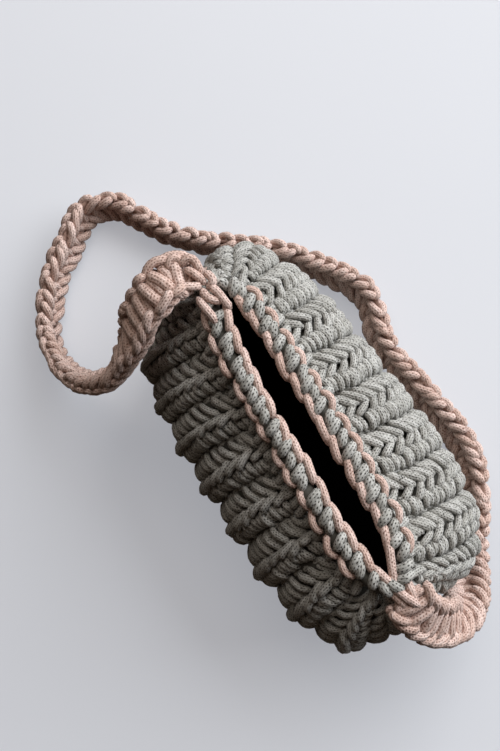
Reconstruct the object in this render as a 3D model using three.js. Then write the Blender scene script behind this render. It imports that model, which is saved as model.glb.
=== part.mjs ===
// Crochet crossbody bag: a ribbed pouch standing on its base, mouth up, with its flat strap lying round it.
// Millimetres, +Z up. X runs along the mouth, -Y is the front panel, the origin is the middle of the base.
import * as THREE from 'three';

// Crochet fabric of the pouch.
const WALL_THICKNESS = 8;
const RIB_RELIEF = 2.4;
const STRAIGHT_RIBS = 7;
const END_RIBS = 2;
const STEPS_PER_RIB = 6;
const FULL_RIB_WIDTH = 27;
const LIP_FADE = 0.08;
const BASE_FADE = 0.15;
const SEAM_CLEAR = 8;

// Ribs lean sideways on their way down the wall, by these distances at the middle of a panel. The lean is
// reached at LEAN_END of the way down, and LEAN_BIAS makes it stronger towards one end of the panel.
const FRONT_LEAN = -13;
const BACK_LEAN = 8;
const LEAN_END = 0.6;
const LEAN_BIAS = 0.5;

// Outer wall from the lip down to the edge of the base, one row for each level.
// square sets how boxy the section is, notch is the dip at the side seams, turn swings the mouth round,
// dx and dy move it off the middle of the pouch, and rib is the width of one crochet rib.
const WALL = [
  { z: 112, halfLength: 85, halfDepth: 15, square: 2.8, notch: 1, turn: 0.075, dx: 1, dy: -2.5, rib: 22.5 },
  { z: 108.5, halfLength: 94, halfDepth: 27, square: 2.6, notch: 2.5, turn: 0.075, dx: 1, dy: -2.5, rib: 24 },
  { z: 101.0, halfLength: 101, halfDepth: 39, square: 2.8, notch: 5.0, turn: 0.06, dx: 1, dy: -2, rib: 25 },
  { z: 86.0, halfLength: 108, halfDepth: 51, square: 3.1, notch: 8.0, turn: 0.03, dx: 0.5, dy: -1, rib: 26 },
  { z: 60.0, halfLength: 112, halfDepth: 59, square: 3.4, notch: 11.0, turn: 0, dx: 0, dy: 0, rib: 27 },
  { z: 32.0, halfLength: 110, halfDepth: 56, square: 3.4, notch: 9.0, turn: 0, dx: 0, dy: 0, rib: 26.5 },
  { z: 11.0, halfLength: 103, halfDepth: 47, square: 3.3, notch: 6.0, turn: 0, dx: 0, dy: 0, rib: 24 },
  { z: 0.0, halfLength: 91, halfDepth: 36, square: 3.2, notch: 4.0, turn: 0, dx: 0, dy: 0, rib: 20 },
];
const TAPER = 0.09;
const SHEAR = 0.06;
const NOTCH_REACH = 15;
const WALL_ROWS = 14;
const INNER_ROWS = 6;

// Worked edge round the mouth.
const EDGING = { halfLength: 84, halfDepth: 13.6, square: 3.2 };
const EDGING_HALF_WIDTH = 6.4;
const EDGING_HALF_HEIGHT = 6;
const EDGING_STITCHES = 29;
const STEPS_PER_STITCH = 4;
const EDGING_SIDES = 8;
const SCALLOP = 0.08;

// Cloth lining.
const LINING_THICKNESS = 1.2;
const LINING_GAP = 1.2;
const LINING_COLUMN_STEP = 2;

// Cord that laces each side seam shut, from just under the edging to just above the base.
const LACING = { top: 0.26, bottom: 0.9, radius: 2.6, swell: 0.4, stitches: 11, sides: 6 };

// Strap: a band with a thick chain along both edges.
const STRAP_WIDTH = 25;
const STRAP_THICKNESS = 9;
const STRAP_WAIST = 7;
const STRAP_STEPS = 80;

// Middle line of the strap from the left end of the mouth, over, down and round the back, to the right end.
// lean tips the band about its own line: 0 lies flat, -90 stands on its right-hand edge.
const STRAP_ROUTE = [
  { x: -92, y: -3.6, z: 119, lean: -5 },
  { x: -98, y: -9, z: 124.4, lean: -8 },
  { x: -99.2, y: -17, z: 127.4, lean: -14 },
  { x: -96.8, y: -26, z: 126, lean: -25 },
  { x: -94, y: -36, z: 119, lean: -35 },
  { x: -89.5, y: -45, z: 107, lean: -46 },
  { x: -87, y: -54, z: 92, lean: -56 },
  { x: -86, y: -63, z: 77, lean: -60 },
  { x: -90, y: -72, z: 61, lean: -60 },
  { x: -98, y: -79.5, z: 46, lean: -68 },
  { x: -110, y: -84.5, z: 31, lean: -76 },
  { x: -123, y: -86, z: 19.5, lean: -82 },
  { x: -135, y: -85, z: 14, lean: -83 },
  { x: -147, y: -79, z: 13.2, lean: -80 },
  { x: -167, y: -61, z: 13.3, lean: -73 },
  { x: -181, y: -39, z: 13.3, lean: -72 },
  { x: -188, y: -29, z: 13.3, lean: -72 },
  { x: -189, y: -17, z: 13.3, lean: -75 },
  { x: -181, y: -5, z: 13.1, lean: -80 },
  { x: -168, y: 2, z: 12.9, lean: -85 },
  { x: -150, y: 11, z: 12.6, lean: -88 },
  { x: -130, y: 28, z: 12.6, lean: -88 },
  { x: -112, y: 49, z: 12.7, lean: -87 },
  { x: -97, y: 62, z: 13, lean: -82 },
  { x: -75, y: 76, z: 13.2, lean: -76 },
  { x: -58, y: 84.5, z: 13.2, lean: -75 },
  { x: -44, y: 84.5, z: 13.3, lean: -73 },
  { x: -30, y: 79, z: 13.3, lean: -72 },
  { x: -10, y: 75.5, z: 13.3, lean: -70 },
  { x: 33, y: 79.5, z: 13.1, lean: -68 },
  { x: 52, y: 80, z: 13.2, lean: -69 },
  { x: 72, y: 74, z: 13.2, lean: -70 },
  { x: 90, y: 62, z: 13.2, lean: -70 },
  { x: 104, y: 48, z: 14.5, lean: -64 },
  { x: 114, y: 38, z: 21, lean: -46 },
  { x: 122, y: 27, z: 36, lean: -26 },
  { x: 124.5, y: 14, z: 58, lean: -6 },
  { x: 118, y: 2, z: 84, lean: 6 },
  { x: 105.4, y: -6.4, z: 108, lean: 6 },
  { x: 93.3, y: -8, z: 118.5, lean: 3 },
];

const GAP = 0.3;
const CURVE_STEPS = 400;
const ROUTE_STEPS = 1600;
const LEVEL_STEP = 0.02;
const UP = new THREE.Vector3(0, 0, 1);

const GREY_GREEN_YARN = new THREE.MeshStandardMaterial({ color: 0x8f918a, roughness: 0.95, metalness: 0 });
const BLUSH_YARN = new THREE.MeshStandardMaterial({ color: 0xc2aba2, roughness: 0.95, metalness: 0 });
const EDGING_YARN = new THREE.MeshStandardMaterial({ color: 0xa59a93, roughness: 0.95, metalness: 0 });
const BLACK_CLOTH = new THREE.MeshStandardMaterial({ color: 0x0b0b0c, roughness: 0.9, metalness: 0 });

// The row of a table at t from 0 to 1, on a smooth curve through each named column.
function rowAt(table, t) {
  const place = THREE.MathUtils.clamp(t, 0, 1) * (table.length - 1);
  const first = Math.min(Math.floor(place), table.length - 2);
  const f = place - first;
  const row = {};
  for (const column of Object.keys(table[0])) {
    const [a, b, c, d] = [-1, 0, 1, 2].map((step) => {
      const index = THREE.MathUtils.clamp(first + step, 0, table.length - 1);
      return table[index][column];
    });
    row[column] = b + 0.5 * f * (c - a + f * (2 * a - 5 * b + 4 * c - d + f * (3 * (b - c) + d - a)));
  }
  return row;
}

// Running length at each point of a line of points.
function runningLengths(points) {
  const lengths = [0];
  for (let i = 1; i < points.length; i += 1) {
    lengths.push(lengths[i - 1] + points[i].distanceTo(points[i - 1]));
  }
  return lengths;
}

// Where a running length falls on a line: the index before it and the share of the step after that.
function placeAt(lengths, length) {
  let after = lengths.findIndex((value) => value >= length - 1e-9);
  after = after < 1 ? 1 : after;
  const step = lengths[after] - lengths[after - 1];
  return { before: after - 1, share: (length - lengths[after - 1]) / step };
}

function pointAt(points, lengths, length) {
  const { before, share } = placeAt(lengths, length);
  return points[before].clone().lerp(points[before + 1], THREE.MathUtils.clamp(share, 0, 1));
}

// A plain plan point (x along the mouth, y across it) moved to where the leaning, tapered pouch has it.
function plan(row, x, y) {
  const across = y * (1 + (TAPER * x) / row.halfLength);
  return new THREE.Vector3(x + row.dx - SHEAR * across, across + row.dy - row.turn * x, row.z);
}

function superellipse(size, angle) {
  const power = 2 / size.square;
  const [c, s] = [Math.cos(angle), Math.sin(angle)];
  return {
    x: size.halfLength * Math.sign(c) * Math.abs(c) ** power,
    y: size.halfDepth * Math.sign(s) * Math.abs(s) ** power,
  };
}

// Outline of one panel at a level, from the left side seam to the right one.
function panelOutline(row, side) {
  const points = [];
  for (let i = 0; i <= CURVE_STEPS; i += 1) {
    const angle = Math.PI * (1 - i / CURVE_STEPS);
    const { x, y } = superellipse(row, angle);
    const dip = row.notch * Math.exp(-((y / NOTCH_REACH) ** 2));
    points.push(plan(row, x - Math.sign(Math.cos(angle)) * dip, side * y));
  }
  return points;
}

const PANEL_RIBS = STRAIGHT_RIBS + 2 * END_RIBS;
const PANEL_STEPS = PANEL_RIBS * STEPS_PER_RIB;
const RING_STEPS = 2 * PANEL_STEPS;

// Distance from the middle of a panel to a rib place: even ribs in the middle, and ribs that share
// what is left at the two ends.
function ribPlace(rib, ribWidth, halfPanel) {
  const straight = STRAIGHT_RIBS / 2;
  const fromMiddle = Math.abs(rib - PANEL_RIBS / 2);
  const even = Math.min(fromMiddle, straight) * ribWidth;
  const rest = (Math.max(fromMiddle - straight, 0) / END_RIBS) * (halfPanel - straight * ribWidth);
  return Math.sign(rib - PANEL_RIBS / 2) * (even + rest);
}

// How far the lean of the ribs moves a place on a panel: -1 is the left side seam and 1 the right one.
function ribLean(t, side, place) {
  const lean = side < 0 ? FRONT_LEAN : BACK_LEAN;
  const reached = Math.sin((Math.PI / 2) * Math.min(1, t / LEAN_END));
  return lean * reached * (1 - place ** 2) * (1 - LEAN_BIAS * side * place);
}

function panelPoints(t, side, leaning) {
  const row = rowAt(WALL, t);
  const outline = panelOutline(row, side);
  const lengths = runningLengths(outline);
  const halfPanel = lengths.at(-1) / 2;
  const points = [];
  for (let i = 0; i <= PANEL_STEPS; i += 1) {
    const lean = leaning ? ribLean(t, side, (2 * i) / PANEL_STEPS - 1) : 0;
    const place = halfPanel + ribPlace(i / STEPS_PER_RIB, row.rib, halfPanel) + lean;
    points.push(pointAt(outline, lengths, place));
  }
  return points;
}

// One closed ring of the plain wall: the front panel left to right, then the back panel right to left.
// A leaning ring has its points moved along with the ribs.
function plainRing(t, leaning) {
  const front = panelPoints(t, -1, leaning);
  const back = panelPoints(t, 1, leaning).slice(1, -1).reverse();
  return [...front, ...back];
}

// A ring of the wall moved out by offsetOf(point number), along the wall's own direction there.
function wallRing(t, offsetOf, leaning = false) {
  const ring = plainRing(t, leaning);
  const above = plainRing(Math.max(t - LEVEL_STEP, 0), leaning);
  const below = plainRing(Math.min(t + LEVEL_STEP, 1), leaning);
  return ring.map((point, j) => {
    const along = ring[(j + 1) % RING_STEPS].clone().sub(ring[(j - 1 + RING_STEPS) % RING_STEPS]);
    const outward = below[j].clone().sub(above[j]).cross(along).normalize();
    return point.clone().addScaledVector(outward, offsetOf(j));
  });
}

// Height of the crochet ribs over the plain wall: broad ridges with narrow valleys between them.
// They die out at the lip, at the base and beside the side seams.
function ribHeights(t) {
  const ring = plainRing(t, true);
  const seams = [ring[0], ring[PANEL_STEPS]];
  const ends = Math.min(1, t / LIP_FADE) * Math.min(1, (1 - t) / BASE_FADE);
  return (j) => {
    const phase = (j % STEPS_PER_RIB) / STEPS_PER_RIB;
    const ridge = 1 - 2 * Math.abs(2 * phase - 1) ** 3;
    const toSeam = Math.min(...seams.map((seam) => seam.distanceTo(ring[j])));
    const width = STEPS_PER_RIB * ring[j].distanceTo(ring[(j + 1) % RING_STEPS]);
    const size = Math.min(1, width / FULL_RIB_WIDTH) * (1 - Math.exp(-((toSeam / SEAM_CLEAR) ** 2)));
    return RIB_RELIEF * ridge * ends * size;
  };
}

// A ring drawn in to the line along its middle, which closes the pouch at its base.
function middleLine(ring) {
  return ring.map((point, j) => point.clone().lerp(ring[(ring.length - j) % ring.length], 0.5));
}

// A closed solid through rings of points. A ring may shrink to a line or a point to close an end,
// and an endless row of rings closes on itself.
function solidThrough(rings, endless = false) {
  const positions = [];
  const faces = [];
  const known = new Map();
  const vertex = (point) => {
    const key = point.toArray().map((value) => Math.round(value * 1e4)).join(' ');
    if (!known.has(key)) {
      known.set(key, known.size);
      positions.push(...point.toArray());
    }
    return known.get(key);
  };
  const addFace = (a, b, c) => {
    if (a !== b && b !== c && c !== a) faces.push(a, b, c);
  };
  const numbered = rings.map((ring) => ring.map(vertex));
  const spans = endless ? numbered.length : numbered.length - 1;
  for (let i = 0; i < spans; i += 1) {
    const here = numbered[i];
    const next = numbered[(i + 1) % numbered.length];
    for (let j = 0; j < here.length; j += 1) {
      const k = (j + 1) % here.length;
      addFace(here[j], here[k], next[k]);
      addFace(here[j], next[k], next[j]);
    }
  }
  const geometry = new THREE.BufferGeometry();
  geometry.setAttribute('position', new THREE.Float32BufferAttribute(positions, 3));
  geometry.setIndex(faces);
  geometry.computeVertexNormals();
  return geometry;
}

// Rings of an even inner skin at a depth under the wall, from the lip down, kept above the base.
function innerSkin(depth, columnStep = 1) {
  const rings = [];
  for (let i = 0; i <= INNER_ROWS; i += 1) {
    const ring = wallRing(i / INNER_ROWS, () => -depth);
    ring.forEach((point) => point.setZ(Math.max(point.z, depth)));
    rings.push(ring.filter((point, j) => j % columnStep === 0));
  }
  return rings;
}

// The pouch: ribbed outer wall, flat base, and a plain inner wall.
function pouch() {
  const outer = [];
  for (let i = WALL_ROWS; i >= 0; i -= 1) {
    const t = i / WALL_ROWS;
    outer.push(wallRing(t, ribHeights(t), true));
  }
  const inner = innerSkin(WALL_THICKNESS);
  return solidThrough([middleLine(outer[0]), ...outer, ...inner, middleLine(inner.at(-1))]);
}

// The lining: a thin pouch just inside the crochet one.
function liningPouch() {
  const depth = WALL_THICKNESS + LINING_GAP;
  const outside = innerSkin(depth, LINING_COLUMN_STEP).reverse();
  const inside = innerSkin(depth + LINING_THICKNESS, LINING_COLUMN_STEP);
  return solidThrough([middleLine(outside[0]), ...outside, ...inside, middleLine(inside.at(-1))]);
}

function oval(halfFirst, halfSecond, sides) {
  const outline = [];
  for (let k = 0; k < sides; k += 1) {
    const angle = (2 * Math.PI * k) / sides;
    outline.push([halfFirst * Math.cos(angle), halfSecond * Math.sin(angle)]);
  }
  return outline;
}

// An outline of pairs laid round a point, along two directions.
function ringRound(point, first, second, outline) {
  return outline.map(([a, b]) => point.clone().addScaledVector(first, a).addScaledVector(second, b));
}

// The edging: a scalloped ring that sits on the lip all round the mouth.
function mouthEdging() {
  const row = { ...WALL[0], z: WALL[0].z + GAP + EDGING_HALF_HEIGHT * (1 + SCALLOP) };
  const line = [];
  for (let i = 0; i <= 2 * CURVE_STEPS; i += 1) {
    const { x, y } = superellipse(EDGING, (Math.PI * i) / CURVE_STEPS);
    line.push(plan(row, x, y));
  }
  const lengths = runningLengths(line);
  const count = EDGING_STITCHES * STEPS_PER_STITCH;
  const stations = [];
  for (let i = 0; i < count; i += 1) {
    stations.push(pointAt(line, lengths, (lengths.at(-1) * i) / count));
  }
  const rings = stations.map((point, i) => {
    const along = stations[(i + 1) % count].clone().sub(stations[(i - 1 + count) % count]).normalize();
    const outward = along.clone().cross(UP);
    const swell = 1 + SCALLOP * Math.cos((2 * Math.PI * i) / STEPS_PER_STITCH);
    const outline = oval(EDGING_HALF_HEIGHT * swell, EDGING_HALF_WIDTH * swell, EDGING_SIDES);
    return ringRound(point, UP, outward, outline);
  });
  return solidThrough(rings, true);
}

// A bar along a line of points, closed at both ends. sectionAt gives the two directions and the outline.
function sweep(points, sectionAt) {
  const rings = points.map((point, i) => {
    const { first, second, outline } = sectionAt(i);
    return ringRound(point, first, second, outline);
  });
  const cap = (point, ring) => ring.map(() => point.clone());
  return solidThrough([cap(points[0], rings[0]), ...rings, cap(points.at(-1), rings.at(-1))]);
}

function directionAt(points, i) {
  const next = points[Math.min(i + 1, points.length - 1)];
  return next.clone().sub(points[Math.max(i - 1, 0)]).normalize();
}

// The lacing of one side seam: a cord that swells at each stitch, lying in the dip between the panels.
function seamLacing(seam, endward) {
  const steps = LACING.stitches * STEPS_PER_STITCH;
  const clear = LACING.radius + LACING.swell + GAP;
  const points = [];
  for (let i = 0; i <= steps; i += 1) {
    const t = THREE.MathUtils.lerp(LACING.top, LACING.bottom, i / steps);
    points.push(wallRing(t, () => clear)[seam]);
  }
  return sweep(points, (i) => {
    const along = directionAt(points, i);
    const across = along.clone().cross(endward).normalize();
    const out = across.clone().cross(along);
    const radius = LACING.radius + LACING.swell * Math.cos((2 * Math.PI * i) / STEPS_PER_STITCH);
    return { first: out, second: across, outline: oval(radius, radius, LACING.sides) };
  });
}

// The strap: thick edges, a thinner waist, tipped along its way by the lean of its route.
function strapBand() {
  const fine = [];
  for (let i = 0; i <= ROUTE_STEPS; i += 1) {
    fine.push(rowAt(STRAP_ROUTE, i / ROUTE_STEPS));
  }
  const line = fine.map((row) => new THREE.Vector3(row.x, row.y, row.z));
  const lengths = runningLengths(line);
  const points = [];
  const leans = [];
  for (let i = 0; i <= STRAP_STEPS; i += 1) {
    const length = (lengths.at(-1) * i) / STRAP_STEPS;
    const { before } = placeAt(lengths, length);
    points.push(pointAt(line, lengths, length));
    leans.push(THREE.MathUtils.degToRad(fine[before].lean));
  }
  const [edge, thick, waist] = [STRAP_WIDTH / 2, STRAP_THICKNESS / 2, STRAP_WAIST / 2];
  const chain = edge - thick / 2;
  const face = [[chain, thick], [edge / 2, waist], [0, waist], [-edge / 2, waist], [-chain, thick]];
  const half = [[edge, 0], ...face];
  const outline = [...half, ...half.map(([a, b]) => [-a, -b])];
  return sweep(points, (i) => {
    const along = directionAt(points, i);
    const right = along.clone().cross(UP).normalize();
    const raised = right.clone().cross(along);
    const across = right.multiplyScalar(Math.cos(leans[i])).addScaledVector(raised, Math.sin(leans[i]));
    return { first: across, second: along.clone().cross(across), outline };
  });
}

function piece(name, geometry, material) {
  const mesh = new THREE.Mesh(geometry, material);
  mesh.name = name;
  return mesh;
}

const bag = new THREE.Group();
bag.add(
  piece('body', pouch(), GREY_GREEN_YARN),
  piece('mouth_edging', mouthEdging(), EDGING_YARN),
  piece('seam_lacing_left', seamLacing(0, new THREE.Vector3(-1, 0, 0)), BLUSH_YARN),
  piece('seam_lacing_right', seamLacing(PANEL_STEPS, new THREE.Vector3(1, 0, 0)), BLUSH_YARN),
  piece('lining', liningPouch(), BLACK_CLOTH),
  piece('strap', strapBand(), BLUSH_YARN),
);

export default bag;
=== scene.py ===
import math

import bmesh
import bpy
import numpy as np
from mathutils import Matrix, Vector


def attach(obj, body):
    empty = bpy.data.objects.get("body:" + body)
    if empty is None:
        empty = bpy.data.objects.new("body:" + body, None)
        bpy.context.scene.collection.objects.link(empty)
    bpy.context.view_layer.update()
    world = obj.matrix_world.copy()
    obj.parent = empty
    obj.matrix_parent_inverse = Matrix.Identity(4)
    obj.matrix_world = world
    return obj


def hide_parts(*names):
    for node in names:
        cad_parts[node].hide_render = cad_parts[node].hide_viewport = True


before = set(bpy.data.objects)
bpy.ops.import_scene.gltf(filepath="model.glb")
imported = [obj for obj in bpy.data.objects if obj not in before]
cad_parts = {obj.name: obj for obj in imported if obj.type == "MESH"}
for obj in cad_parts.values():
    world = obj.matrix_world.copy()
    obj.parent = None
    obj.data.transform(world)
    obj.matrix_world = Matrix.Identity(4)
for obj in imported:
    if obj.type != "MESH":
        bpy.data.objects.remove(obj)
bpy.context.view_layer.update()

MM = 0.001
UP = np.array((0.0, 0.0, 1.0))
chance = np.random.default_rng(11)

# Camera: the photograph looks steeply down on the mouth, from over the right front corner.
IMAGE_WIDTH = 500
IMAGE_HEIGHT = 751
LENS = 50
SENSOR = 36
CAMERA_AZIMUTH = math.radians(55.0)
CAMERA_ELEVATION = math.radians(81.5)
CAMERA_DISTANCE = 0.572
AIM = Vector((0, 0, 0.055))
AIM_PIXEL = (302, 440)


def make_camera():
    flat = math.cos(CAMERA_ELEVATION)
    sideways, forward = math.sin(CAMERA_AZIMUTH), math.cos(CAMERA_AZIMUTH)
    back = Vector((sideways * flat, -forward * flat, math.sin(CAMERA_ELEVATION)))
    right = Vector(UP).cross(back).normalized()
    up = back.cross(right)
    focal = IMAGE_HEIGHT * LENS / SENSOR
    across = (AIM_PIXEL[0] - IMAGE_WIDTH / 2) / focal
    down = (AIM_PIXEL[1] - IMAGE_HEIGHT / 2) / focal
    place = AIM + CAMERA_DISTANCE * (back - across * right + down * up)
    data = bpy.data.cameras.new("camera")
    data.lens = LENS
    data.sensor_width = SENSOR
    camera = bpy.data.objects.new("camera", data)
    camera.matrix_world = Matrix.Translation(place) @ Matrix((right, up, back)).transposed().to_4x4()
    bpy.context.collection.objects.link(camera)
    bpy.context.scene.camera = camera


make_camera()


# Shader maths: a socket that takes part in Python sums, and a finish that adds any node.
class Value:
    def __init__(self, finish, socket):
        self.finish = finish
        self.socket = socket

    def maths(self, operation, first, second):
        return self.finish.add("Math", {"operation": operation}, {0: first, 1: second})

    def __add__(self, other):
        return self.maths("ADD", self, other)

    def __sub__(self, other):
        return self.maths("SUBTRACT", self, other)

    def __mul__(self, other):
        return self.maths("MULTIPLY", self, other)


class Finish:
    def __init__(self, name):
        self.material = bpy.data.materials.new(name)
        self.material.use_nodes = True
        self.tree = self.material.node_tree
        self.tree.nodes.clear()

    def add(self, kind, settings=None, inputs=None, output=0):
        node = self.tree.nodes.new("ShaderNode" + kind)
        for name, value in (settings or {}).items():
            setattr(node, name, value)
        for name, value in (inputs or {}).items():
            if isinstance(value, Value):
                self.tree.links.new(value.socket, node.inputs[name])
            else:
                node.inputs[name].default_value = value
        return Value(self, node.outputs[output]) if node.outputs else None

    def mix(self, factor, first, second):
        return self.add(
            "Mix", {"data_type": "RGBA"}, {"Factor": factor, 6: first, 7: second}, output=2
        )

    def span(self, value, low, high):
        """0 below low, 1 above high, smooth between."""
        settings = {"interpolation_type": "SMOOTHSTEP"}
        return self.add("MapRange", settings, {"Value": value, "From Min": low, "From Max": high})

    def wave(self, value):
        return self.add("Math", {"operation": "SINE"}, {0: value})

    def noise(self, scale, detail=2.0, rough=0.5, place=None):
        place = place or self.add("TexCoord", output=3)
        inputs = {"Vector": place, "Scale": scale, "Detail": detail, "Roughness": rough}
        return self.add("TexNoise", None, inputs)

    def close(self, inputs):
        surface = self.add("BsdfPrincipled", None, inputs)
        self.add("OutputMaterial", None, {"Surface": surface})
        return self.material


def colour(red, green, blue):
    return (red, green, blue, 1.0)


# Knitted-tube cotton cord: staggered rows of tiny loops round the cord, soft fibres, uneven dye, with painted
# shade in the loop holes and dark streaks and a painted sheen on the pale streaks. Rows in mm.
LOOP_ROW = 1.65
LOOPS_ROUND = 10


def cord_finish(name, pale, light, dark, painted_shade):
    finish = Finish(name)
    place = finish.add("UVMap", {"uv_map": "yarn"})
    along = finish.add("SeparateXYZ", None, {0: place})
    around = finish.add("SeparateXYZ", None, {0: place}, output=1)
    strand = finish.add("Attribute", {"attribute_name": "strand"}, output=2)
    turn = around * (2 * math.pi)
    rows = finish.wave(along * (2 * math.pi / LOOP_ROW))
    columns = finish.wave(turn * (LOOPS_ROUND / 2))
    ribs = columns * columns
    loops = rows * columns * ribs * ribs
    sine, cosine = finish.wave(turn), finish.wave(turn + math.pi / 2)
    on_cord = finish.add("CombineXYZ", None, {0: along * 0.5 + strand * 40.0, 1: sine * 2.6, 2: cosine * 2.6})
    streaks = finish.noise(1.0, 2.0, 0.6, on_cord)
    ragged = finish.noise(420.0)
    patches = finish.noise(60.0)
    # shaded_pits: the holes between the knitted loops, darkened to near black as painted shade.
    shaded_pits = finish.span(loops + ragged * 1.7, 0.66, 0.36)
    tone = finish.mix(finish.span(strand * 0.6 + patches * 0.7, 0.3, 1.0), dark, light)
    # Pale streaks: paler fibres, partly a painted sheen highlight.
    tone = finish.mix(finish.span(streaks + ribs * 0.1, 0.5, 0.3) * 0.6, tone, pale)
    # Dark streaks: uneven fibres, partly painted shade in the grooves between loop columns.
    tone = finish.mix(finish.span(streaks + ribs * 0.1, 0.5, 0.8) * 0.6, tone, painted_shade)
    tone = finish.mix(shaded_pits * 0.92, tone, painted_shade)
    height = ragged * 0.5 - streaks * 1.4 - ribs * 0.2 - shaded_pits * 0.9
    bump = finish.add("Bump", None, {"Strength": 0.8, "Distance": 0.0005, "Height": height})
    return finish.close({
        "Base Color": tone,
        "Roughness": 0.95,
        "Specular IOR Level": 0.2,
        "Sheen Weight": 0.12,
        "Sheen Roughness": 0.6,
        "Normal": bump,
    })


def cloth_finish(name, light, dark, weave, strength):
    finish = Finish(name)
    place = finish.add("TexCoord", output=3)
    threads = finish.add("TexWave", {"bands_direction": "DIAGONAL"}, {"Vector": place, "Scale": weave})
    patches = finish.noise(45.0, 4.0, 0.6)
    tone = finish.mix(finish.span(patches * 0.8 + threads * 0.2, 0.25, 0.8), dark, light)
    bump = finish.add("Bump", None, {"Strength": strength, "Distance": 0.0003, "Height": threads + patches})
    return finish.close({"Base Color": tone, "Roughness": 0.95, "Specular IOR Level": 0.15, "Normal": bump})


GREY_GREEN = cord_finish(
    "grey_green_cord",
    pale=colour(0.66, 0.65, 0.62),
    light=colour(0.53, 0.52, 0.485),
    dark=colour(0.41, 0.4, 0.365),
    # Near-black painted shade for the loop holes and dark streaks.
    painted_shade=colour(0.04, 0.034, 0.028),
)
BLUSH = cord_finish(
    "blush_cord",
    pale=colour(0.84, 0.7, 0.645),
    light=colour(0.78, 0.595, 0.525),
    dark=colour(0.65, 0.46, 0.385),
    # Dark painted shade for the loop holes and dark streaks.
    painted_shade=colour(0.26, 0.14, 0.105),
)
# Dark grey underside behind the strands: painted shade in the gaps between strands.
SHADED_CORE_GREY = cloth_finish(
    "crochet_underside_painted_shade", colour(0.13, 0.124, 0.108), colour(0.09, 0.085, 0.074), 900.0, 0.4
)
# Darker blush underside behind the strap's strands: painted shade in the gaps between legs and bars.
SHADED_CORE_BLUSH = cloth_finish("strap_underside_painted_shade", colour(0.4, 0.26, 0.21), colour(0.29, 0.18, 0.145), 900.0, 0.4)
BLACK = cloth_finish("black_lining", colour(0.006, 0.006, 0.0065), colour(0.003, 0.003, 0.0033), 1500.0, 0.5)


# Curves and lines shared by every piece.
def smooth_rows(table, places):
    """Rows of a table at places from 0 to 1, on a smooth curve through each column."""
    rows = np.asarray(table, float)
    place = np.clip(places, 0, 1) * (len(rows) - 1)
    first = np.minimum(place.astype(int), len(rows) - 2)
    f = (place - first)[:, None]
    a, b, c, d = (rows[np.clip(first + step, 0, len(rows) - 1)] for step in (-1, 0, 1, 2))
    return b + 0.5 * f * (c - a + f * (2 * a - 5 * b + 4 * c - d + f * (3 * (b - c) + d - a)))


def running(points):
    """Running length at each point of a line."""
    steps = np.linalg.norm(np.diff(points, axis=0), axis=1)
    return np.concatenate(([0.0], np.cumsum(steps)))


def along_line(points, places):
    """Points of a line at the given running lengths."""
    lengths = running(points)
    return np.stack([np.interp(places, lengths, points[:, k]) for k in range(points.shape[1])], axis=-1)


def unit(vectors):
    return vectors / np.maximum(np.linalg.norm(vectors, axis=-1, keepdims=True), 1e-9)


# Cords: many short strands of yarn in one mesh, each a tube with rounded ends.
STRAND_STEPS = 8
STRAND_SIDES = 8
STRAND_WIDE = 1.06
STRAND_HIGH = 0.96
ROUNDED_SHARE = 0.3
END_THINNING = 0.84
FLOOR_GAP = 0.15
LOOP_SHIFT = 20


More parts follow.
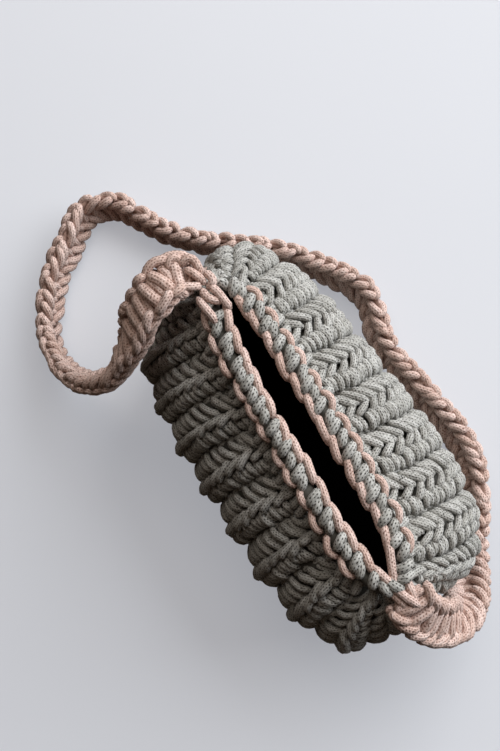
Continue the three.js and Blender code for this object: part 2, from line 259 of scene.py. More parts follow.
class Strands:
    def __init__(self):
        self.points = []
        self.faces = []
        self.places = []
        self.shades = []
        self.count = 0

    def lay(self, lines, ups, radius, wide=STRAND_WIDE, high=STRAND_HIGH, steps=STRAND_STEPS):
        """Lines and radii are control points in mm; ups point away from what each strand lies on."""
        share = np.linspace(0, 1, steps)
        weights = smooth_rows(np.eye(lines.shape[1]), share)
        middle = np.einsum("mk,nkc->nmc", weights, lines)
        up = np.einsum("mk,nkc->nmc", weights, ups)
        ahead = unit(np.gradient(middle, axis=1))
        side = unit(np.cross(ahead, up))
        up = np.cross(side, ahead)
        ends = np.maximum(np.abs(2 * share - 1) - (1 - ROUNDED_SHARE), 0) / ROUNDED_SHARE
        thick = np.broadcast_to(np.asarray(radius, float), lines.shape[:2]) @ weights.T
        thick = (thick * np.sqrt(1 - END_THINNING * ends**2))[:, :, None, None]
        angle = np.linspace(0, 2 * math.pi, STRAND_SIDES, endpoint=False)[None, None, :, None]
        ring = wide * np.cos(angle) * side[:, :, None] + high * np.sin(angle) * up[:, :, None]
        points = middle[:, :, None] + thick * ring
        number = np.arange(points[..., 0].size).reshape(points.shape[:3]) + self.count
        after = np.roll(number, -1, axis=2)
        quads = np.stack((number[:, :-1], number[:, 1:], after[:, 1:], after[:, :-1]), axis=-1)
        length = np.cumsum(np.linalg.norm(np.diff(middle, axis=1, prepend=middle[:, :1]), axis=2), axis=1)
        length = length + chance.uniform(0, LOOP_SHIFT, len(lines))[:, None]
        along = np.broadcast_to(length[:, :, None], number.shape)
        around = np.broadcast_to(np.arange(STRAND_SIDES) / STRAND_SIDES, number.shape)
        step = 1 / STRAND_SIDES
        corners = (
            (along[:, :-1], around[:, :-1]),
            (along[:, 1:], around[:, 1:]),
            (along[:, 1:], around[:, 1:] + step),
            (along[:, :-1], around[:, :-1] + step),
        )
        self.points.append(points.reshape(-1, 3))
        self.faces.extend(quads.reshape(-1, 4).tolist())
        self.places.append(np.stack([np.stack(c, axis=-1) for c in corners], axis=-2).reshape(-1, 2))
        for end, order in ((0, 1), (-1, -1)):
            self.faces.extend(number[:, end, ::order].tolist())
            cap = np.stack((along[:, end], around[:, end]), axis=-1)
            self.places.append(cap[:, ::order].reshape(-1, 2))
        self.shades.append(np.repeat(chance.uniform(0, 1, len(lines)), steps * STRAND_SIDES))
        self.count += number.size

    def piece(self, name, finish):
        points = np.concatenate(self.points)
        points[:, 2] = np.maximum(points[:, 2], FLOOR_GAP)
        mesh = bpy.data.meshes.new(name)
        mesh.from_pydata((points * MM).tolist(), [], self.faces)
        mesh.uv_layers.new(name="yarn").data.foreach_set("uv", np.concatenate(self.places).ravel())
        shade = mesh.attributes.new("strand", "FLOAT", "POINT")
        shade.data.foreach_set("value", np.concatenate(self.shades))
        mesh.polygons.foreach_set("use_smooth", np.ones(len(mesh.polygons), bool))
        mesh.materials.append(finish)
        mesh.update()
        piece = bpy.data.objects.new(name, mesh)
        bpy.context.collection.objects.link(piece)
        return piece


JITTER_LIMIT = 1.5


def jitter(shape, amount):
    """Chance offsets of about the given amount, with no strand far out of line."""
    return np.clip(chance.normal(0, 1, shape), -JITTER_LIMIT, JITTER_LIMIT) * amount


# Strap: a crocheted band on its route, repeated from the part in mm. lean tips it about its line in degrees.
STRAP_STITCHES = 96
STRAP_CORD = 2.35
CORE_HALF_WIDTH = 10.8
CORE_FLATNESS = 0.15
CORE_START = 3
CORE_STEPS = 240
ROUTE_STEPS = 1600
BAND_STEPS = 1200
# x, y, z, lean
STRAP_ROUTE = (
    (-92, -3.6, 119, -5), (-98, -9, 124.4, -8), (-99.2, -17, 127.4, -14), (-96.8, -26, 126, -25),
    (-94, -36, 119, -35), (-89.5, -45, 107, -46), (-87, -54, 92, -56), (-86, -63, 77, -60),
    (-90, -72, 61, -60), (-98, -79.5, 46, -68), (-110, -84.5, 31, -76), (-123, -86, 19.5, -82),
    (-135, -85, 14, -83), (-147, -79, 13.2, -80), (-167, -61, 13.3, -73), (-181, -39, 13.3, -72),
    (-188, -29, 13.3, -72), (-189, -17, 13.3, -75), (-181, -5, 13.1, -80), (-168, 2, 12.9, -85),
    (-150, 11, 12.6, -88), (-130, 28, 12.6, -88), (-112, 49, 12.7, -87), (-97, 62, 13, -82),
    (-75, 76, 13.2, -76), (-58, 84.5, 13.2, -75), (-44, 84.5, 13.3, -73), (-30, 79, 13.3, -72),
    (-10, 75.5, 13.3, -70), (33, 79.5, 13.1, -68), (52, 80, 13.2, -69), (72, 74, 13.2, -70),
    (90, 62, 13.2, -70), (104, 48, 14.5, -64), (114, 38, 21, -46), (122, 27, 36, -26),
    (124.5, 14, 58, -6), (118, 2, 84, 6), (105.4, -6.4, 108, 6), (93.3, -8, 118.5, 3),
)


class Band:
    """The strap's own directions: along it, across its width, and out of its face."""

    def __init__(self):
        fine = smooth_rows(STRAP_ROUTE, np.linspace(0, 1, ROUTE_STEPS + 1))
        self.length = running(fine[:, :3])[-1]
        self.places = np.linspace(0, self.length, BAND_STEPS + 1)
        self.line = along_line(fine[:, :3], self.places)
        lean = np.radians(np.interp(self.places, running(fine[:, :3]), fine[:, 3]))[:, None]
        ahead = unit(np.gradient(self.line, axis=0))
        right = unit(np.cross(ahead, UP))
        raised = np.cross(right, ahead)
        self.across = np.cos(lean) * right + np.sin(lean) * raised
        self.face = np.cross(ahead, self.across)

    def read(self, rows, places):
        return np.stack([np.interp(places, self.places, rows[:, k]) for k in range(3)], axis=-1)

    def at(self, places, across, out):
        """Points at running lengths, offset across the band and out of its face, and the face's direction."""
        side, face = unit(self.read(self.across, places)), unit(self.read(self.face, places))
        return self.read(self.line, places) + across[..., None] * side + out[..., None] * face, face


# Stitch tables: along in stitches, across in mm, out of the face in mm.
EDGE_LEG = ((-0.7, 7.8, 2.8), (-0.34, 9.4, 3.3), (0.02, 10.3, 2.7), (0.38, 10.1, 1.4), (0.74, 8.6, 0.0))
END_LEG = ((-0.8, 5.4, 1.8), (-0.42, 7.6, 3.2), (-0.04, 9.5, 3.3), (0.34, 10.4, 1.8), (0.66, 10.2, -0.2))
BRAID_LEG = ((-0.84, 1.8, 0.6), (-0.48, 4.8, 2.7), (-0.1, 8.0, 3.4), (0.28, 10.2, 2.1), (0.64, 10.3, -0.4))
STRAP_BAR = ((-0.06, -8.6, -0.4), (-0.03, -4.6, 0.9), (0.0, 0.2, 1.2), (0.03, 4.6, 0.9), (0.06, 8.6, -0.4))
# Lengths of the strap: first and last stitch, leg, and bars by place in a stitch, thickness and stand.
STRAP_LENGTHS = (
    (0, 10, EDGE_LEG, ((0.0, 3.0, 1.0), (0.5, 2.3, -0.5))),
    (10, 88, BRAID_LEG, ((0.0, 2.2, -0.2),)),
    (88, 96, END_LEG, ((0.0, 2.9, 1.0), (0.5, 2.0, -1.2))),
)


def strap_strands(band, table, stitches, mirror, face, proud=0.0):
    """One kind of strand at each of the given stitches of the strap."""
    rows = np.asarray(table)
    shape = (len(stitches), len(rows))
    tilt = jitter((len(stitches), 1), 0.02) * rows[:, 1]
    along = stitches[:, None] + 0.5 + rows[:, 0] + tilt + jitter((len(stitches), 1), 0.05)
    across = mirror * (rows[:, 1] + jitter(shape, 0.25))
    out = face * (rows[:, 2] + proud + jitter((len(stitches), 1), 0.3) + jitter(shape, 0.2))
    places = np.clip(along, 0, STRAP_STITCHES) * band.length / STRAP_STITCHES
    points, ups = band.at(places, across, out)
    return points, face * ups


def make_strap():
    band = Band()
    strands = Strands()
    for face in (1, -1):
        for first, last, leg, bars in STRAP_LENGTHS:
            edge = np.arange(max(first, 1), last)
            for mirror in (1, -1):
                strands.lay(*strap_strands(band, leg, edge, mirror, face), STRAP_CORD)
            for shift, cord, proud in bars:
                stitches = np.arange(first, last) + shift
                strands.lay(*strap_strands(band, STRAP_BAR, stitches, 1, face, proud), cord)
    strap = strands.piece("strap_crochet", BLUSH)
    # The strap core is a darker sheet inside the band: painted shade in the gaps between strands.
    core = Strands()
    places = np.linspace(CORE_START, band.length - CORE_START, CORE_STEPS)
    line, face = band.at(places, np.zeros(CORE_STEPS), np.zeros(CORE_STEPS))
    core.lay(line[None], face[None], CORE_HALF_WIDTH, wide=1.0, high=CORE_FLATNESS, steps=CORE_STEPS)
    under = core.piece("strap_core", SHADED_CORE_BLUSH)
    for piece in (strap, under):
        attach(piece, "root")
        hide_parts("strap")


make_strap()


# Pouch wall, repeated from the part in mm.
FRONT, BACK = -1, 1
# z, half length, half depth, square, notch, turn, dx, dy, rib
WALL = (
    (112, 85, 15, 2.8, 1, 0.075, 1, -2.5, 22.5),
    (108.5, 94, 27, 2.6, 2.5, 0.075, 1, -2.5, 24),
    (101, 101, 39, 2.8, 5, 0.06, 1, -2, 25),
    (86, 108, 51, 3.1, 8, 0.03, 0.5, -1, 26),
    (60, 112, 59, 3.4, 11, 0, 0, 0, 27),
    (32, 110, 56, 3.4, 9, 0, 0, 0, 26.5),
    (11, 103, 47, 3.3, 6, 0, 0, 0, 24),
    (0, 91, 36, 3.2, 4, 0, 0, 0, 20),
)
TAPER = 0.09
SHEAR = 0.06
NOTCH_REACH = 15
STRAIGHT_RIBS = 7
END_RIBS = 2
RIBS = STRAIGHT_RIBS + 2 * END_RIBS
RIB_WIDTH = 25
COLUMNS_PER_RIB = 10
RIB_LEAN = {FRONT: -13, BACK: 8}
LEAN_END = 0.6
LEAN_BIAS = 0.5
BASE_LIFT = 3.4
LIFT_TOP = 60
OUTLINE_STEPS = 400
WALL_LEVELS = 96
BASE_ROWS = 24
PANEL_ROWS = 150


def plan(size, x, y):
    """A plain plan point moved to where the leaning, tapered pouch has it."""
    z, half_length, turn, dx, dy = size
    across = y * (1 + TAPER * x / half_length)
    return np.stack((x + dx - SHEAR * across, across + dy - turn * x, np.full_like(x, z)), axis=-1)


def superellipse(half_length, half_depth, square, angle):
    c, s = np.cos(angle), np.sin(angle)
    x = half_length * np.sign(c) * np.abs(c) ** (2 / square)
    y = half_depth * np.sign(s) * np.abs(s) ** (2 / square)
    return x, y


def rib_places(rib_width, half_panel):
    """Distances from the middle of a panel to evenly spaced places on its ribs."""
    from_middle = np.linspace(-RIBS / 2, RIBS / 2, RIBS * COLUMNS_PER_RIB + 1)
    straight = STRAIGHT_RIBS / 2
    even = np.minimum(np.abs(from_middle), straight) * rib_width
    rest = np.maximum(np.abs(from_middle) - straight, 0) / END_RIBS * (half_panel - straight * rib_width)
    return np.sign(from_middle) * (even + rest)


def panel_rows(side):
    """Points of one panel from the lip down: rows of columns from the left side seam to the right one."""
    angle = np.linspace(math.pi, 0, OUTLINE_STEPS + 1)
    place = np.linspace(-1, 1, RIBS * COLUMNS_PER_RIB + 1)
    fan = RIB_LEAN[side] * (1 - place**2) * (1 - LEAN_BIAS * side * place)
    levels = np.linspace(0, 1, WALL_LEVELS + 1)
    leans = np.sin(math.pi / 2 * np.minimum(1, levels / LEAN_END))
    rows = []
    for row, lean in zip(smooth_rows(WALL, levels), leans):
        z, half_length, half_depth, square, notch, turn, dx, dy, rib = row
        x, y = superellipse(half_length, half_depth, square, angle)
        x = x - np.sign(np.cos(angle)) * notch * np.exp(-((y / NOTCH_REACH) ** 2))
        lifted = z + BASE_LIFT * max(1 - z / LIFT_TOP, 0)
        outline = plan((lifted, half_length, turn, dx, dy), x, side * y)
        half_panel = running(outline)[-1] / 2
        rows.append(along_line(outline, half_panel + rib_places(rib, half_panel) + lean * fan))
    return np.stack(rows)


class Panel:
    """One panel of the pouch from the lip, down the wall and under the base to its middle line."""

    def __init__(self, side, wall, other):
        middle = (wall[-1] + other[-1]) / 2
        share = np.linspace(0, 1, BASE_ROWS + 1)[1:, None, None]
        base = wall[-1] + (middle - wall[-1]) * share
        rows = np.concatenate((wall, base))
        lengths = np.stack([running(rows[:, j]) for j in range(rows.shape[1])], axis=1)
        even = np.linspace(0, 1, PANEL_ROWS + 1)
        self.points = np.stack(
            [along_line(rows[:, j], even * lengths[-1, j]) for j in range(rows.shape[1])], axis=1
        )
        down = np.gradient(self.points, axis=0)
        across = np.gradient(self.points, axis=1)
        self.normals = unit(-side * np.cross(down, across))
        self.widths = np.linalg.norm(across, axis=-1) * COLUMNS_PER_RIB

    def read(self, rows, down, rib):
        """Rows at shares of the way down and at places counted in ribs."""
        i = np.clip(down, 0, 1) * (rows.shape[0] - 1)
        j = np.clip(rib, 0, RIBS) * COLUMNS_PER_RIB
        i0 = np.minimum(i.astype(int), rows.shape[0] - 2)
        j0 = np.minimum(j.astype(int), rows.shape[1] - 2)
        f, g = (i - i0), (j - j0)
        if rows.ndim == 3:
            f, g = f[..., None], g[..., None]
        top = rows[i0, j0] * (1 - g) + rows[i0, j0 + 1] * g
        low = rows[i0 + 1, j0] * (1 - g) + rows[i0 + 1, j0 + 1] * g
        return top * (1 - f) + low * f

    def at(self, down, rib, out):
        """Points out from the wall, and the wall's outward direction."""
        normal = unit(self.read(self.normals, down, rib))
        return self.read(self.points, down, rib) + out[..., None] * normal, normal


FRONT_WALL, BACK_WALL = panel_rows(FRONT), panel_rows(BACK)
PANELS = {FRONT: Panel(FRONT, FRONT_WALL, BACK_WALL), BACK: Panel(BACK, BACK_WALL, FRONT_WALL)}

# Stitch tables of the pouch: stitches down from the lip, mm across a full rib, mm out, share of the cord.
PANEL_STITCHES = 22
WALL_STITCHES = 18
POUCH_CORD = {FRONT: 1.9, BACK: 1.95}
POUCH_OUT = -1.6
STITCH_LENGTH = 8
LEAST_RIB = 9
CORD_SHARES = (0.8, 1.06)
RIB_PHASE_SEED = 5
LEAF = (
    (0.74, -14.4, -3.0, 0.75), (0.46, -11.8, -0.9, 1.0), (0.12, -8.8, 0.3, 1.05),
    (-0.22, -6.2, 0.0, 1.02), (-0.52, -3.8, -1.6, 0.9),
)
UNDER_LEAF = (
    (1.06, -13.4, -4.4, 0.8), (0.86, -11.2, -2.9, 0.95), (0.60, -8.6, -2.2, 1.0),
    (0.34, -6.2, -2.2, 1.0), (0.10, -4.0, -2.8, 0.9),
)
CHAIN = (
    (-0.86, -3.9, -1.6, 0.85), (-0.42, -2.7, 0.9, 1.0), (0.0, -1.5, 2.4, 1.06),
    (0.42, -0.3, 3.0, 1.1), (0.76, 0.8, 2.1, 1.0),
)
POST = (
    (0.18, -0.2, -1.2, 0.9), (0.09, 2.2, 0.6, 1.0), (0.0, 4.4, 0.9, 1.06),
    (-0.09, 6.7, -0.4, 1.02), (-0.16, 9.0, -3.0, 0.88),
)
UNDER_POST = (
    (0.66, 0.2, -1.8, 0.9), (0.58, 2.4, -0.3, 1.0), (0.50, 4.6, 0.1, 1.04),
    (0.42, 6.7, -1.0, 1.0), (0.35, 8.8, -3.4, 0.86),
)
VALLEY = (
    (-0.60, 9.8, -4.8, 0.95), (-0.28, 10.3, -4.0, 1.0), (0.04, 10.6, -3.8, 1.05),
    (0.34, 10.8, -4.2, 1.0), (0.62, 11.2, -5.2, 0.95),
)
BACK_LEAF = (
    (-0.66, -12.6, -2.4, 0.8), (-0.32, -10.2, 0.2, 1.0), (0.0, -7.6, 1.5, 1.06),
    (0.32, -5.0, 2.0, 1.08), (0.60, -2.8, 1.2, 0.92),
)
BACK_CROSS = (
    (0.62, -4.2, -0.2, 0.9), (0.32, -2.2, 1.2, 1.0), (0.0, -0.2, 2.0, 1.06),
    (-0.30, 1.8, 1.9, 1.06), (-0.58, 3.8, 0.8, 0.92),
)
BACK_POST = (
    (-0.12, 1.6, -0.4, 0.9), (-0.06, 4.0, 1.2, 1.02), (0.0, 6.6, 1.6, 1.08),
    (0.06, 9.2, 0.6, 1.04), (0.12, 11.4, -2.0, 0.9),
)
BACK_UNDER_POST = (
    (0.38, 1.6, -0.8, 0.9), (0.44, 4.0, 0.6, 1.02), (0.50, 6.6, 1.0, 1.06),
    (0.56, 9.0, 0.0, 1.02), (0.62, 11.2, -2.4, 0.88),
)
BACK_UNDER_LEAF = (
    (-0.12, -12.0, -3.6, 0.8), (0.20, -9.8, -1.6, 0.95), (0.50, -7.4, -0.6, 1.0),
    (0.80, -5.0, -0.2, 1.0), (1.06, -3.0, -0.6, 0.9),
)
STITCHES = {
    FRONT: (LEAF, UNDER_LEAF, CHAIN, POST, UNDER_POST, VALLEY),
    BACK: (BACK_LEAF, BACK_UNDER_LEAF, BACK_CROSS, BACK_POST, BACK_UNDER_POST, VALLEY),
}


def pouch_strands(panel, table, cord, stitches):
    """One kind of strand at every stitch of every rib of a panel."""
    rib, stitch = np.meshgrid(np.arange(RIBS), stitches, indexing="ij")
    phase = np.random.default_rng(RIB_PHASE_SEED).uniform(-0.5, 0.5, RIBS)[rib]
    rows = np.asarray(table)
    count = rib.size
    rib, stitch = rib.reshape(-1, 1), (stitch + phase).reshape(-1, 1)
    half = len(rows) // 2
    middle = rows[half]
    stretch = 1 + jitter((count, 1), 0.09)
    turned = jitter((count, 1), 0.12)
    along = stitch + 0.5 + middle[0] + (rows[:, 0] - middle[0]) * stretch + jitter((count, 1), 0.06)
    along = along + turned * (rows[:, 1] - middle[1]) / STITCH_LENGTH
    across = rows[:, 1] - turned * (rows[:, 0] - middle[0]) * STITCH_LENGTH
    across = across + jitter((count, 1), 0.5) + jitter((count, len(rows)), 0.2)
    out = POUCH_OUT + rows[:, 2] + jitter((count, 1), 0.35) + jitter((count, len(rows)), 0.15)
    down = along / PANEL_STITCHES
    place = rib + 0.5 + across / RIB_WIDTH
    width = panel.read(panel.widths, down[:, half], rib[:, 0] + 0.5)
    points, ups = panel.at(down, place, out)
    keep = width > LEAST_RIB
    size = cord * np.clip(width[keep] / RIB_WIDTH, *CORD_SHARES) * (1 + jitter(keep.sum(), 0.06))
    return points[keep], ups[keep], size[:, None] * rows[:, 3]


def make_pouch():
    names = {FRONT: "front_panel_crochet", BACK: "back_panel_crochet"}
    base = Strands()
    pieces = []
    for side, panel in PANELS.items():
        wall = Strands()
        for table in STITCHES[side]:
            cord = POUCH_CORD[side]
            wall.lay(*pouch_strands(panel, table, cord, np.arange(WALL_STITCHES)))
            base.lay(*pouch_strands(panel, table, cord, np.arange(WALL_STITCHES, PANEL_STITCHES)))
        pieces.append(wall.piece(names[side], GREY_GREEN))
    pieces.append(base.piece("base_crochet", GREY_GREEN))
    for piece in pieces:
        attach(piece, "root")
        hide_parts("body")


make_pouch()


# Cloth shells inside the stitches, in mm out from the wall; the dark grey core shell is painted shade seen
# through the gaps between strands.
CORE_OUT = -4.4
LINING_OUT = -9.4
CLOTH_THICKNESS = 1.0
SHELL_COLUMNS_PER_RIB = 4
SHELL_ROWS = 40
WELD = 0.6


def shell(name, out, finish):
    """A cloth shell at an even distance from the pouch wall, from the lip to the middle of the base."""
    mesh = bpy.data.meshes.new(name)
    bm = bmesh.new()
    columns = RIBS * SHELL_COLUMNS_PER_RIB
    for panel in PANELS.values():
        made = bmesh.ops.create_grid(bm, x_segments=columns, y_segments=SHELL_ROWS, size=0.5)
        place = np.array([vertex.co for vertex in made["verts"]])
        points, _ = panel.at(0.5 - place[:, 1], (place[:, 0] + 0.5) * RIBS, np.full(len(place), out))
        points[:, 2] = np.maximum(points[:, 2], BASE_LIFT - out)
        for vertex, point in zip(made["verts"], points):
            vertex.co = Vector(point * MM)
    bmesh.ops.remove_doubles(bm, verts=bm.verts, dist=WELD * MM)
    bmesh.ops.recalc_face_normals(bm, faces=bm.faces)
    bm.to_mesh(mesh)
    bm.free()
    mesh.polygons.foreach_set("use_smooth", np.ones(len(mesh.polygons), bool))
    mesh.materials.append(finish)
    piece = bpy.data.objects.new(name, mesh)
    bpy.context.collection.objects.link(piece)
    wall = piece.modifiers.new("thickness", "SOLIDIFY")
    wall.thickness = CLOTH_THICKNESS * MM
    wall.offset = -1
    return piece


def make_shells():
    core = shell("crochet_core", CORE_OUT, SHADED_CORE_GREY)
    lining = shell("lining_cloth", LINING_OUT, BLACK)
    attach(core, "root")
    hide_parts("body")
    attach(lining, "root")
    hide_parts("lining")


make_shells()

# Worked edge round the mouth. Stitch tables: stitches along, mm out from the slit, mm up, share of the cord.
EDGING_HALF_LENGTH = 84
EDGING_HALF_DEPTH = 13.6
EDGING_SQUARE = 3.2
EDGING_HEIGHT = 118.8
EDGING_STITCHES = 29
EDGING_CORD = 2.05
EDGING_CORE = 3.6
EDGING_CORE_WIDE = 1.15
EDGING_CORE_UP = -0.8
EDGING_CORE_STEPS = 181
RIM_STEPS = 1600
RIM_FALL = 0.12
# How far each kind of strand goes towards the ends of the mouth.
BLUSH_REACH = 74
GREY_REACH = 86
COLLAR_REACH = 110
INNER_CHAIN = (
    (-0.70, -5.6, 0.2, 0.85), (-0.36, -6.2, 2.9, 1.0), (0.04, -5.6, 4.3, 1.05),
    (0.38, -4.4, 4.0, 1.05), (0.62, -3.2, 1.6, 0.85),
)
GREY_PAIR = (
    (
        (-0.34, -5.4, 2.2, 0.95), (-0.24, -3.1, 4.4, 1.15), (-0.14, -0.7, 5.1, 1.22),
        (-0.04, 1.4, 3.8, 1.18), (0.04, 3.2, 1.0, 0.95),
    ),
    (
        (0.0, -2.6, 1.0, 0.9), (0.15, -1.4, 3.4, 1.1), (0.30, 0.2, 4.5, 1.16),
        (0.45, 1.8, 3.4, 1.12), (0.58, 3.2, 0.6, 0.9),
    ),
)
OUTER_LOOP = (
    (-0.64, 2.6, 0.2, 0.8), (-0.42, 4.8, 1.8, 0.88), (-0.14, 6.0, 2.2, 0.9),
    (0.14, 5.5, 1.4, 0.88), (0.36, 3.4, -0.2, 0.8),
)
# Grey strands that close the gap between the edging and the pouch.
COLLAR_PAIR = (
    (
        (-0.40, 1.6, -2.4, 0.95), (-0.34, 3.4, -4.4, 1.05), (-0.28, 5.4, -6.0, 1.08),
        (-0.22, 7.6, -7.4, 1.05), (-0.16, 9.8, -8.8, 0.9),
    ),
    (
        (0.10, 1.6, -2.6, 0.95), (0.16, 3.4, -4.6, 1.05), (0.22, 5.4, -6.2, 1.08),
        (0.28, 7.6, -7.6, 1.05), (0.34, 9.8, -9.0, 0.9),
    ),
)
# Collar strands that close the two ends of the mouth, as x, y, z in mm.
END_COLLAR = (
    ((-84.5, 5.5, 116.2), (-87.5, 6.0, 113.6), (-91.0, 6.5, 111.4), (-95.0, 7.0, 109.0)),
    ((-84.8, 2.0, 116.2), (-88.0, 1.8, 113.6), (-91.5, 1.6, 111.4), (-95.5, 1.4, 109.0)),
    ((-84.5, -1.5, 116.2), (-87.5, -2.4, 113.6), (-91.0, -3.2, 111.4), (-95.0, -4.0, 109.0)),
    ((86.5, -6.0, 116.2), (89.5, -5.5, 113.6), (93.0, -5.0, 111.4), (96.5, -4.5, 109.0)),
    ((86.8, -9.2, 116.2), (90.0, -9.2, 113.6), (93.5, -9.2, 111.4), (97.0, -9.2, 109.0)),
    ((86.5, -12.5, 116.2), (89.5, -13.2, 113.6), (93.0, -14.0, 111.4), (96.5, -14.8, 109.0)),
)
# Blush strands that run from each end of the mouth on to the strap, as x, y, z in mm.
JOINS = (
    ((-102.7, -12.2, 127.0), (-106.3, -7.9, 128.5), (-104.7, -4.8, 128.0), (-101.0, -5.0, 126.0)),
    ((-101.0, -6.4, 127.0), (-102.0, -1.1, 128.8), (-98.7, 1.3, 128.0), (-90.7, 0.2, 124.5)),
    ((-98.5, -5.0, 127.5), (-94.5, -3.0, 128.4), (-90.5, -1.5, 127.0), (-87.0, -1.0, 124.5)),
    ((-93.0, -12.5, 127.5), (-90.5, -9.5, 128.4), (-88.5, -6.0, 127.6), (-87.5, -3.0, 125.5)),
    ((-92.8, 2.6, 124.0), (-87.5, 3.5, 126.0), (-85.4, 2.2, 125.5), (-85.0, -1.2, 123.0)),
    ((-86.5, -3.6, 124.5), (-80.9, -3.9, 126.0), (-77.5, -1.5, 125.5), (-75.7, 1.3, 122.5)),
    ((-84.8, 0.6, 124.5), (-80.6, 1.8, 126.0), (-75.0, 2.1, 125.5), (-69.7, 2.6, 123.0)),
    ((-83.9, -7.8, 124.5), (-77.0, -7.8, 126.0), (-71.9, -7.2, 125.0), (-67.6, -7.3, 122.5)),
    ((69.6, -13.8, 122.0), (82.0, -11.4, 123.5), (91.4, -9.3, 122.5), (99.2, -5.8, 120.0)),
    ((64.9, 0.4, 123.0), (73.6, -4.7, 123.5), (82.1, -8.9, 122.0), (88.0, -12.0, 120.0)),
    ((84.0, -3.5, 119.5), (89.0, -4.5, 121.0), (94.0, -5.5, 119.5), (99.0, -6.0, 115.5)),
    ((84.0, -8.5, 118.0), (89.0, -8.5, 119.4), (94.0, -8.3, 118.0), (100.0, -8.0, 113.5)),
    ((84.0, -13.5, 119.5), (89.0, -12.6, 121.0), (94.0, -11.6, 119.5), (99.0, -10.5, 115.5)),
)


class Rim:
    """Directions round the mouth: along its edge, out from the slit, and up."""

    def __init__(self):
        angle = np.linspace(0, 2 * math.pi, RIM_STEPS + 1)
        x, y = superellipse(EDGING_HALF_LENGTH, EDGING_HALF_DEPTH, EDGING_SQUARE, angle)
        _, half_length, _, _, _, turn, dx, dy, _ = WALL[0]
        line = plan((EDGING_HEIGHT, half_length, turn, dx, dy), x, y)
        length = running(line)[-1]
        self.line = along_line(line, np.linspace(0, length, RIM_STEPS + 1))[:-1]
        ahead = np.roll(self.line, -1, axis=0) - np.roll(self.line, 1, axis=0)
        self.out = unit(np.cross(ahead, UP))

    def at(self, places, out, up):
        """Points at shares of the way round, and the direction away from the rim."""
        i = (places % 1) * len(self.line)
        i0 = i.astype(int) % len(self.line)
        f = (i - i.astype(int))[..., None]
        after = (i0 + 1) % len(self.line)
        point = self.line[i0] * (1 - f) + self.line[after] * f
        outward = unit(self.out[i0] * (1 - f) + self.out[after] * f)
        ups = unit(UP + RIM_FALL * out[..., None] * outward)
        return point + out[..., None] * outward + up[..., None] * UP, ups


def rim_strands(rim, table, reach):
    """One kind of strand at every stitch of the edging within reach of its middle."""
    rows = np.asarray(table)
    shape = (EDGING_STITCHES, len(rows))
    stitch = np.arange(EDGING_STITCHES)[:, None]
    along = stitch + rows[:, 0] + jitter((EDGING_STITCHES, 1), 0.08)
    sway = jitter((EDGING_STITCHES, 1), 0.35)
    out = rows[:, 1] + sway + np.roll(sway, 1, axis=0) + jitter(shape, 0.25)
    up = rows[:, 2] + jitter((EDGING_STITCHES, 1), 0.35) + jitter(shape, 0.15)
    points, ups = rim.at(along / EDGING_STITCHES, out, up)
    keep = np.abs(points[:, len(rows) // 2, 0]) < reach
    return points[keep], ups[keep], EDGING_CORD * rows[:, 3]


def make_edging():
    rim = Rim()
    grey, blush, under = Strands(), Strands(), Strands()
    for table in GREY_PAIR:
        grey.lay(*rim_strands(rim, table, GREY_REACH))
    for table in COLLAR_PAIR:
        grey.lay(*rim_strands(rim, table, COLLAR_REACH))
    ends = np.asarray(END_COLLAR)
    grey.lay(ends, np.broadcast_to(UP, ends.shape), EDGING_CORD)
    for table in (INNER_CHAIN, OUTER_LOOP):
        blush.lay(*rim_strands(rim, table, BLUSH_REACH))
    joins = np.asarray(JOINS)
    blush.lay(joins, np.broadcast_to(UP, joins.shape), EDGING_CORD)
    # The edging core is a dark sheet under the edging strands: painted shade in their gaps.
    places = np.linspace(0, 1, EDGING_CORE_STEPS)
    line, ups = rim.at(places, np.zeros(EDGING_CORE_STEPS), np.full(EDGING_CORE_STEPS, EDGING_CORE_UP))
    under.lay(line[None], ups[None], EDGING_CORE, wide=EDGING_CORE_WIDE, high=1.0, steps=EDGING_CORE_STEPS)
    for piece, slot in (
        (grey.piece("edging_grey_stitches", GREY_GREEN), "grey_green_yarn"),
        (blush.piece("edging_blush_stitches", BLUSH), "blush_yarn"),
        (under.piece("edging_core", SHADED_CORE_GREY), "edging_yarn"),
    ):
        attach(piece, "root")
        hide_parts("mouth_edging")


make_edging()

# Lacing of the side seams: stitches down the seam, ribs from the seam (front negative), mm out.
LACING_STITCHES = 11
LACING_TOP = 0.17
LACING_BOTTOM = 0.7
LACING_CORD = 2.1
LACING_SHIFT = 0.004
LACE = ((-0.45, -0.34, -1.6), (-0.25, -0.2, 0.6), (0.0, 0.0, 1.8), (0.25, 0.2, 0.6), (0.45, 0.34, -1.6))


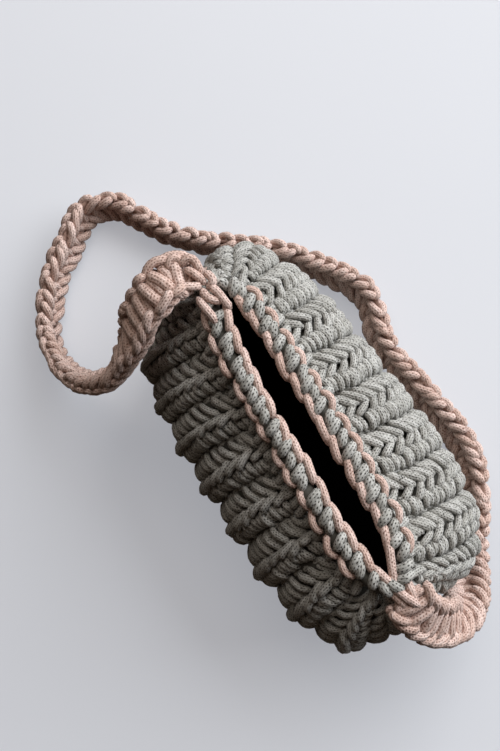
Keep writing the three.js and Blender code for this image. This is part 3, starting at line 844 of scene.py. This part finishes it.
def make_lacing():
    step = (LACING_BOTTOM - LACING_TOP) / LACING_STITCHES
    rows = np.asarray(LACE)
    for name, seam, inward in (("seam_lacing_left", 0, 1), ("seam_lacing_right", RIBS, -1)):
        strands = Strands()
        stitch = np.arange(LACING_STITCHES)[:, None] + 0.5
        down = LACING_TOP + step * (stitch + rows[:, 0]) + jitter((LACING_STITCHES, 1), LACING_SHIFT)
        ribs = np.broadcast_to(seam + inward * np.abs(rows[:, 1]), down.shape)
        out = np.broadcast_to(rows[:, 2], down.shape)
        front, front_up = PANELS[FRONT].at(down, ribs, out)
        back, back_up = PANELS[BACK].at(down, ribs, out)
        on_front = (rows[:, 1] < 0)[None, :, None]
        at_seam = (rows[:, 1] == 0)[None, :, None]
        points = np.where(on_front, front, back)
        ups = np.where(at_seam, unit(front_up + back_up), np.where(on_front, front_up, back_up))
        strands.lay(points, ups, LACING_CORD)
        piece = strands.piece(name + "_stitches", BLUSH)
        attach(piece, "root")
        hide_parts(name)


make_lacing()


# Floor and light.
FLOOR_HALF_SIZE = 3.0


def floor_finish():
    finish = Finish("pale_table")
    patches = finish.noise(3.0)
    tone = finish.mix(patches, colour(0.4, 0.405, 0.415), colour(0.42, 0.425, 0.435))
    return finish.close({
        "Base Color": tone,
        "Roughness": 0.7,
        "Specular IOR Level": 0.2,
        "Emission Color": colour(0.945, 0.97, 1.055),
        "Emission Strength": 0.345,
    })


def make_floor():
    mesh = bpy.data.meshes.new("floor")
    bm = bmesh.new()
    bmesh.ops.create_grid(bm, x_segments=2, y_segments=2, size=FLOOR_HALF_SIZE)
    bm.to_mesh(mesh)
    bm.free()
    mesh.materials.append(floor_finish())
    floor = bpy.data.objects.new("floor", mesh)
    bpy.context.collection.objects.link(floor)
    floor.visible_diffuse = False


def area_light(name, place, aim, size, power, tint):
    data = bpy.data.lights.new(name, "AREA")
    data.shape = "RECTANGLE"
    data.size, data.size_y = size
    data.energy = power
    data.color = tint
    light = bpy.data.objects.new(name, data)
    light.location = place
    light.rotation_mode = "QUATERNION"
    light.rotation_quaternion = (Vector(aim) - Vector(place)).to_track_quat("-Z", "Y")
    bpy.context.collection.objects.link(light)


def make_light():
    area_light("window", (-0.1, 1.56, 1.0), (0, 0, 0.05), (2.4, 2.0), 68.0, (0.95, 0.98, 1.02))
    area_light("ceiling", (-0.8, 0.25, 1.42), (-0.1, 0, 0.1), (1.0, 1.0), 6.5, (1.0, 0.92, 0.85))
    world = bpy.data.worlds.new("room")
    world.use_nodes = True
    sky = world.node_tree.nodes["Background"]
    sky.inputs["Color"].default_value = colour(1.0, 0.72, 0.52)
    sky.inputs["Strength"].default_value = 0.04
    scene = bpy.context.scene
    scene.world = world
    scene.view_settings.view_transform = "Standard"


make_floor()
make_light()
